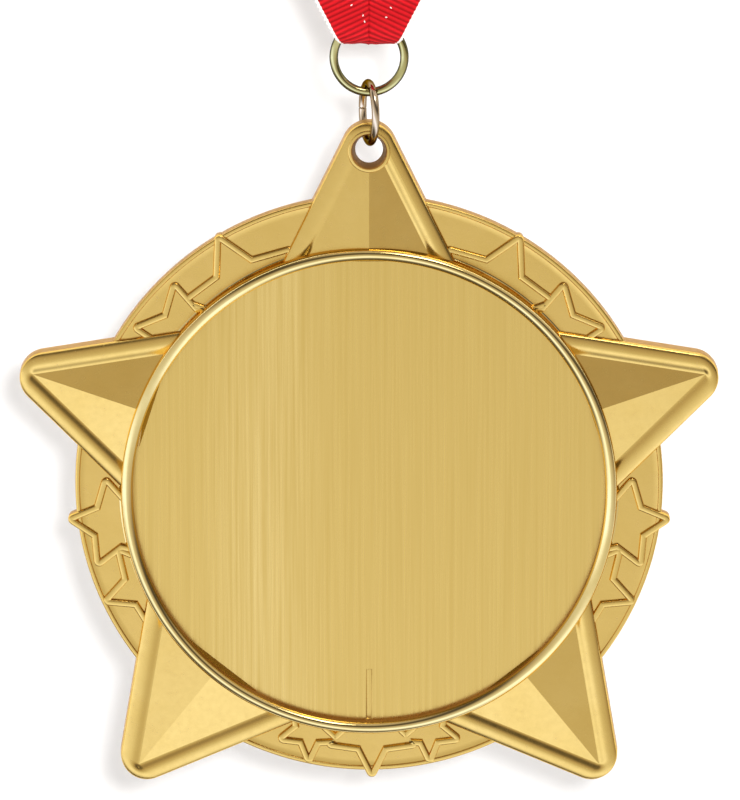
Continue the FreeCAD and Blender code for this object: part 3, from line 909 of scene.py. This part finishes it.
def make_tail(name, side):
    """One half of the sewn V: a tail, mitred at the middle, round the ring and up to its fold."""
    mesh = bmesh.new()
    uv_layer = mesh.loops.layers.uv.new("weave")
    columns = 26
    bottom = PATTERN_LOW
    corner_z = HANK_LOW.z
    corner_x = LOOP_HALF + (corner_z - bottom) * math.tan(TAIL)
    low_rows = int((bottom - PATTERN_END) / (RIB_PITCH / math.cos(TAIL)) * RIB_STEPS)
    high_length = (corner_z - bottom) / math.cos(TAIL) + TAIL_PAST_FOLD
    high_rows = int(high_length / RIB_PITCH * RIB_STEPS)
    uvs = {}
    rows = []
    for row in range(-low_rows, high_rows + 1):
        t = row * RIB_PITCH / RIB_STEPS
        if t < 0:
            edge_x, edge_z = LOOP_HALF, bottom + t / math.cos(TAIL)
        else:
            edge_x, edge_z = LOOP_HALF + t * math.sin(TAIL), bottom + t * math.cos(TAIL)
        reach = min(RIBBON_WIDTH, edge_x / math.cos(TAIL))
        crest = math.cos(2 * math.pi * row / RIB_STEPS)
        verts = []
        for column in range(columns + 1):
            share = column / columns
            across = reach * share
            scallop = -0.07 * MM * crest * max(0.0, 1 - across / (0.3 * MM))
            x = edge_x - (across + scallop) * math.cos(TAIL)
            height = edge_z + (across + scallop) * math.sin(TAIL)
            x, height, behind = fold_point(x, height, corner_x, corner_z)
            y, z, lean = loop_face(height)
            low = math.exp(-(((height - bottom) / (1.2 * MM)) ** 2))
            low *= max(0.0, 1 - (x / (2.2 * MM)) ** 2)
            z += 0.07 * MM * low * math.sin((2.3 + 0.5 * side) * x / MM + 1.0 + side)
            seam = math.exp(-max(x, 0) / (0.25 * MM)) if not behind else 0.0
            lift = 0.055 * MM * crest - 0.12 * MM * seam
            y += behind - (lift * math.cos(lean) if behind < FOLD_BEND else -lift)
            z -= lift * math.sin(lean) if not behind else 0
            vert = mesh.verts.new((side * x, y, z))
            uvs[vert] = (t + UV_START, across)
            verts.append(vert)
        rows.append(verts)
    weave(mesh, uv_layer, rows, uvs, (0, 1, 2, 3) if side < 0 else (3, 2, 1, 0))
    piece = finish_mesh(mesh, name, "ribbon", [RED_RIBBON], ["ribbon_v"])
    thicken(piece, CLOTH, -1.0)
    return piece


def hank_path():
    """The folded tails seen from above: level runs joined by round folds, as (x, y) points."""
    layers = 11
    pitch = (HANK_HIGH.y - HANK_LOW.y) / layers
    bend = pitch / 2
    end = HANK_HIGH.x - bend - 0.1 * MM
    rng = random.Random(4)
    points = []
    for layer in range(layers):
        y = HANK_LOW.y + pitch * (layer + 0.5)
        going = 1 if layer % 2 == 0 else -1
        reach = end - rng.uniform(0, 1.6) * MM
        start = points[-1][0] if points else -end * 0.6
        step = RIB_PITCH / 3
        count = int(abs(going * reach - start) / step)
        for k in range(1, count + 1):
            share = k / count
            x = start + (going * reach - start) * share
            sag = 0.10 * MM * math.sin(share * math.pi * 2 + layer) * (1 - abs(x) / end * 0.5)
            points.append((x, y + sag * 0.4))
        if layer < layers - 1:
            for k in range(1, 7):
                turn = math.pi * k / 7
                x = going * (reach + bend * math.sin(turn))
                points.append((x, y + bend * (1 - math.cos(turn))))
    return points


def make_hank():
    """The unseen length of both tails, folded to and fro."""
    mesh = bmesh.new()
    uv_layer = mesh.loops.layers.uv.new("weave")
    points = hank_path()
    shares = [0.0, 0.006, 0.012, 0.25, 0.5, 0.75, 0.988, 0.994, 1.0]
    length = 0.0
    uvs = {}
    rows = []
    for place, (x, y) in enumerate(points):
        before = points[max(place - 1, 0)]
        after = points[min(place + 1, len(points) - 1)]
        along = Vector((after[0] - before[0], after[1] - before[1])).normalized()
        length += math.hypot(x - before[0], y - before[1])
        crest = math.cos(2 * math.pi * length / RIB_PITCH)
        verts = []
        for share in shares:
            z = HANK_LOW.z + RIBBON_WIDTH * share
            edge = 0.05 * MM * crest * (1 if share in (0.0, 1.0) else 0)
            z += edge if share == 1.0 else -edge
            lift = 0.04 * MM * crest
            vert = mesh.verts.new((x + along.y * lift, y - along.x * lift, z))
            uvs[vert] = (length, RIBBON_WIDTH * share)
            verts.append(vert)
        rows.append(verts)
    weave(mesh, uv_layer, rows, uvs, (0, 3, 2, 1))
    piece = finish_mesh(mesh, "ribbon_folded", "ribbon", [RED_RIBBON], ["ribbon_hank"])
    thicken(piece, CLOTH, 0.0)
    return piece, length


def make_band():
    """The white woven band round the folded tails."""
    low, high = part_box("hank_band")
    mesh = bmesh.new()
    uv_layer = mesh.loops.layers.uv.new("weave")
    corner = 0.6 * MM
    inset = 0.16 * MM
    corners = [
        (high.y - inset - corner, high.z - inset - corner, 0),
        (low.y + inset + corner, high.z - inset - corner, 90),
        (low.y + inset + corner, low.z + inset + corner, 180),
        (high.y - inset - corner, low.z + inset + corner, 270),
    ]
    path = []
    for y, z, start in corners:
        path += arc((y, z), corner, start, start + 90, 8)
    fine = []
    for (ay, az), (by, bz) in zip(path, path[1:] + path[:1]):
        steps = max(1, int(math.hypot(by - ay, bz - az) / (RIB_PITCH / 3)))
        fine += [(ay + (by - ay) * k / steps, az + (bz - az) * k / steps) for k in range(steps)]
    shares = [k / 12 for k in range(13)]
    rows = []
    uvs = {}
    length = 0.0
    previous = fine[0]
    for y, z in fine + fine[:1]:
        length += math.hypot(y - previous[0], z - previous[1])
        previous = (y, z)
        row = []
        for share in shares:
            vert = mesh.verts.new((low.x + (high.x - low.x) * share, y, z))
            uvs[vert] = (length, 0.003 + (high.x - low.x) * share)
            row.append(vert)
        rows.append(row)
    weave(mesh, uv_layer, rows, uvs, (0, 1, 2, 3))
    bmesh.ops.remove_doubles(mesh, verts=mesh.verts, dist=MERGE)
    bmesh.ops.recalc_face_normals(mesh, faces=mesh.faces)
    piece = finish_mesh(mesh, "tie_band", "ribbon", [WHITE_BAND], ["hank_band"])
    thicken(piece, 0.28 * MM, 0.0)


# x and height above the rim's axis, in mm
SPECKS = [(-0.65, 52.3), (-0.48, 51.6), (2.35, 53.2), (1.85, 52.1), (-1.9, 53.5)]


def make_specks():
    """Scraps of the white sewing thread that show on the V's front."""
    mesh = bmesh.new()
    for k, (x, z) in enumerate(SPECKS):
        y, height, _ = loop_face(RIM_Z + z * MM)
        place = Matrix.Translation((x * MM, y - 0.07 * MM, height))
        lean = Matrix.Rotation(math.radians(25 - 37 * k), 4, "Y")
        size = Matrix.Diagonal((0.07 * MM, 0.05 * MM, 0.14 * MM, 1))
        bmesh.ops.create_icosphere(mesh, subdivisions=2, radius=1.0, matrix=place @ lean @ size)
    shade(mesh, 180)
    finish_mesh(mesh, "thread_specks", "ribbon", [SEWING_THREAD])


# Stage --------------------------------------------------------------------------------------


BACKDROP_GAP = 0.11
FLOOR_DROP = 0.045
STAGE_REACH = 3


def make_stage():
    """A pale floor and backdrop, clear of every swing, and unseen from their backs."""
    material, tree, shader = new_material("pale_paper")
    shader.inputs["Base Color"].default_value = (0.7, 0.7, 0.7, 1)
    shader.inputs["Emission Color"].default_value = (1, 1, 1, 1)
    shader.inputs["Emission Strength"].default_value = 0.26
    shader.inputs["Roughness"].default_value = 0.9
    clear = node(tree, "ShaderNodeBsdfTransparent")
    side = node(tree, "ShaderNodeNewGeometry")
    mix = node(tree, "ShaderNodeMixShader")
    out = tree.nodes["Material Output"]
    tree.links.new(side.outputs["Backfacing"], mix.inputs[0])
    tree.links.new(shader.outputs["BSDF"], mix.inputs[1])
    tree.links.new(clear.outputs["BSDF"], mix.inputs[2])
    tree.links.new(mix.outputs["Shader"], out.inputs["Surface"])
    reach = STAGE_REACH
    wall = BACK_Y + BACKDROP_GAP
    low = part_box("star_casting")[0].z - FLOOR_DROP
    backdrop = [
        (-reach, wall, -reach), (reach, wall, -reach), (reach, wall, reach), (-reach, wall, reach),
    ]
    floor = [(-reach, -reach, low), (reach, -reach, low), (reach, wall, low), (-reach, wall, low)]
    for name, corners in (("backdrop", backdrop), ("floor", floor)):
        mesh = bmesh.new()
        mesh.faces.new([mesh.verts.new(corner) for corner in corners])
        thing = object_of(mesh, name)
        thing.data.materials.append(material)
        thing.visible_glossy = name == "backdrop"


SKY = [          # the surroundings' brightness against the downward, leftward direction
    (-1.0, 0.60), (-0.80, 0.55), (-0.66, 0.06), (-0.42, 0.07), (-0.26, 0.42), (-0.10, 0.56),
    (0.09, 0.76), (0.20, 0.79), (0.31, 1.25), (0.48, 1.50), (0.66, 1.10), (0.82, 0.10), (1.0, 0.1),
]
SKY_WARM = (1.09, 0.96, 0.86)
SKY_COOL = (0.97, 1.06, 1.42)


def make_surroundings():
    """A soft sky, brighter below and to the left of the medal."""
    world = bpy.data.worlds.new("studio")
    world.use_nodes = True
    bpy.context.scene.world = world
    tree = world.node_tree
    background = tree.nodes["Background"]
    coords = node(tree, "ShaderNodeTexCoord")
    dot = node(tree, "ShaderNodeVectorMath", operation="DOT_PRODUCT")
    dot.inputs[1].default_value = Vector((-0.40, 0, -0.92)).normalized()
    share = node(tree, "ShaderNodeMapRange")
    share.inputs["From Min"].default_value = -1.0
    ramp = node(tree, "ShaderNodeValToRGB")
    ramp.color_ramp.interpolation = "B_SPLINE"
    stops = ramp.color_ramp.elements
    for place, value in SKY:
        share_of = (place + 1) / 2
        stop = stops[0] if share_of == 0 else stops[-1] if share_of == 1 else stops.new(share_of)
        warm = min(max((0.75 - value) / 0.2, 0.0), 1.0)
        cool = min(max((value - 0.9) / 0.5, 0.0), 1.0)
        tint = [1 + warm * (w - 1) + cool * (c - 1) for w, c in zip(SKY_WARM, SKY_COOL)]
        stop.color = (*(value / 2 * channel for channel in tint), 1)
    tree.links.new(coords.outputs["Generated"], dot.inputs[0])
    tree.links.new(dot.outputs["Value"], share.inputs["Value"])
    tree.links.new(share.outputs["Result"], ramp.inputs["Fac"])
    tree.links.new(ramp.outputs["Color"], background.inputs["Color"])
    background.inputs["Strength"].default_value = 2.0


CAMERA_ELEVATION = 12.0
CAMERA_DISTANCE = 0.75
VIEW_HEIGHT = 87.3 * MM       # what the view takes in at the medal
SENSOR = 36.0


def new_light(name, kind, power, place):
    """A light of a kind at a place."""
    data = bpy.data.lights.new(name, kind)
    data.energy = power
    light = bpy.data.objects.new(name, data)
    bpy.context.scene.collection.objects.link(light)
    light.location = place
    return light


def make_lights():
    """A soft light above, and a narrow one near the camera for the shadow behind."""
    place = Vector((0.25, -0.5, RIM_Z + 0.9))
    above = new_light("above", "AREA", 1.6, place)
    above.data.shape = "SQUARE"
    above.data.size = 0.3
    above.rotation_mode = "QUATERNION"
    above.rotation_quaternion = (Vector((0, 0, RIM_Z)) - place).to_track_quat("-Z", "Y")
    beside = bpy.context.scene.camera.location + Vector((16 * MM, 0, 11 * MM))
    narrow = new_light("shadow_light", "POINT", 18.0, beside)
    narrow.data.shadow_soft_size = 10 * MM
    narrow.visible_glossy = False


def make_camera():
    """Level with the medal's middle but above its normal, far enough to look nearly flat."""
    data = bpy.data.cameras.new("camera")
    camera = bpy.data.objects.new("camera", data)
    bpy.context.scene.collection.objects.link(camera)
    rise = math.radians(CAMERA_ELEVATION)
    aim = Vector((0.1 * MM, 0, RIM_Z + 9.9 * MM))
    away = Vector((0, -math.cos(rise), math.sin(rise)))
    camera.location = aim + away * CAMERA_DISTANCE
    camera.rotation_mode = "QUATERNION"
    camera.rotation_quaternion = (-away).to_track_quat("-Z", "Y")
    data.sensor_width = SENSOR
    data.lens = SENSOR * CAMERA_DISTANCE / VIEW_HEIGHT
    data.clip_start = 0.01
    bpy.context.scene.camera = camera


make_disc()
make_rim()
make_floor()
for arm_name, (direction, reach, half_angle) in ARMS.items():
    make_arm(arm_name, direction, reach, half_angle)
make_hole_pad()
make_outline_stars()
make_ring(
    "jump_ring_wire", "jump_ring", "link", PALE_BRASS,
    3.22 * MM, 0.42 * MM, 90 + 12.7, 0.05 * MM,
)
make_ring(
    "ribbon_ring_wire", "ribbon_ring", "ring", RING_BRASS,
    3.815 * MM, 0.465 * MM, 0, 0,
)
right_tail = make_tail("ribbon_tail_right", 1)
left_tail = make_tail("ribbon_tail_left", -1)
hank, hank_length = make_hank()
make_band()
make_specks()
make_stage()
make_surroundings()
make_camera()
make_lights()

bpy.context.scene.view_settings.view_transform = "Standard"
bpy.context.view_layer.update()
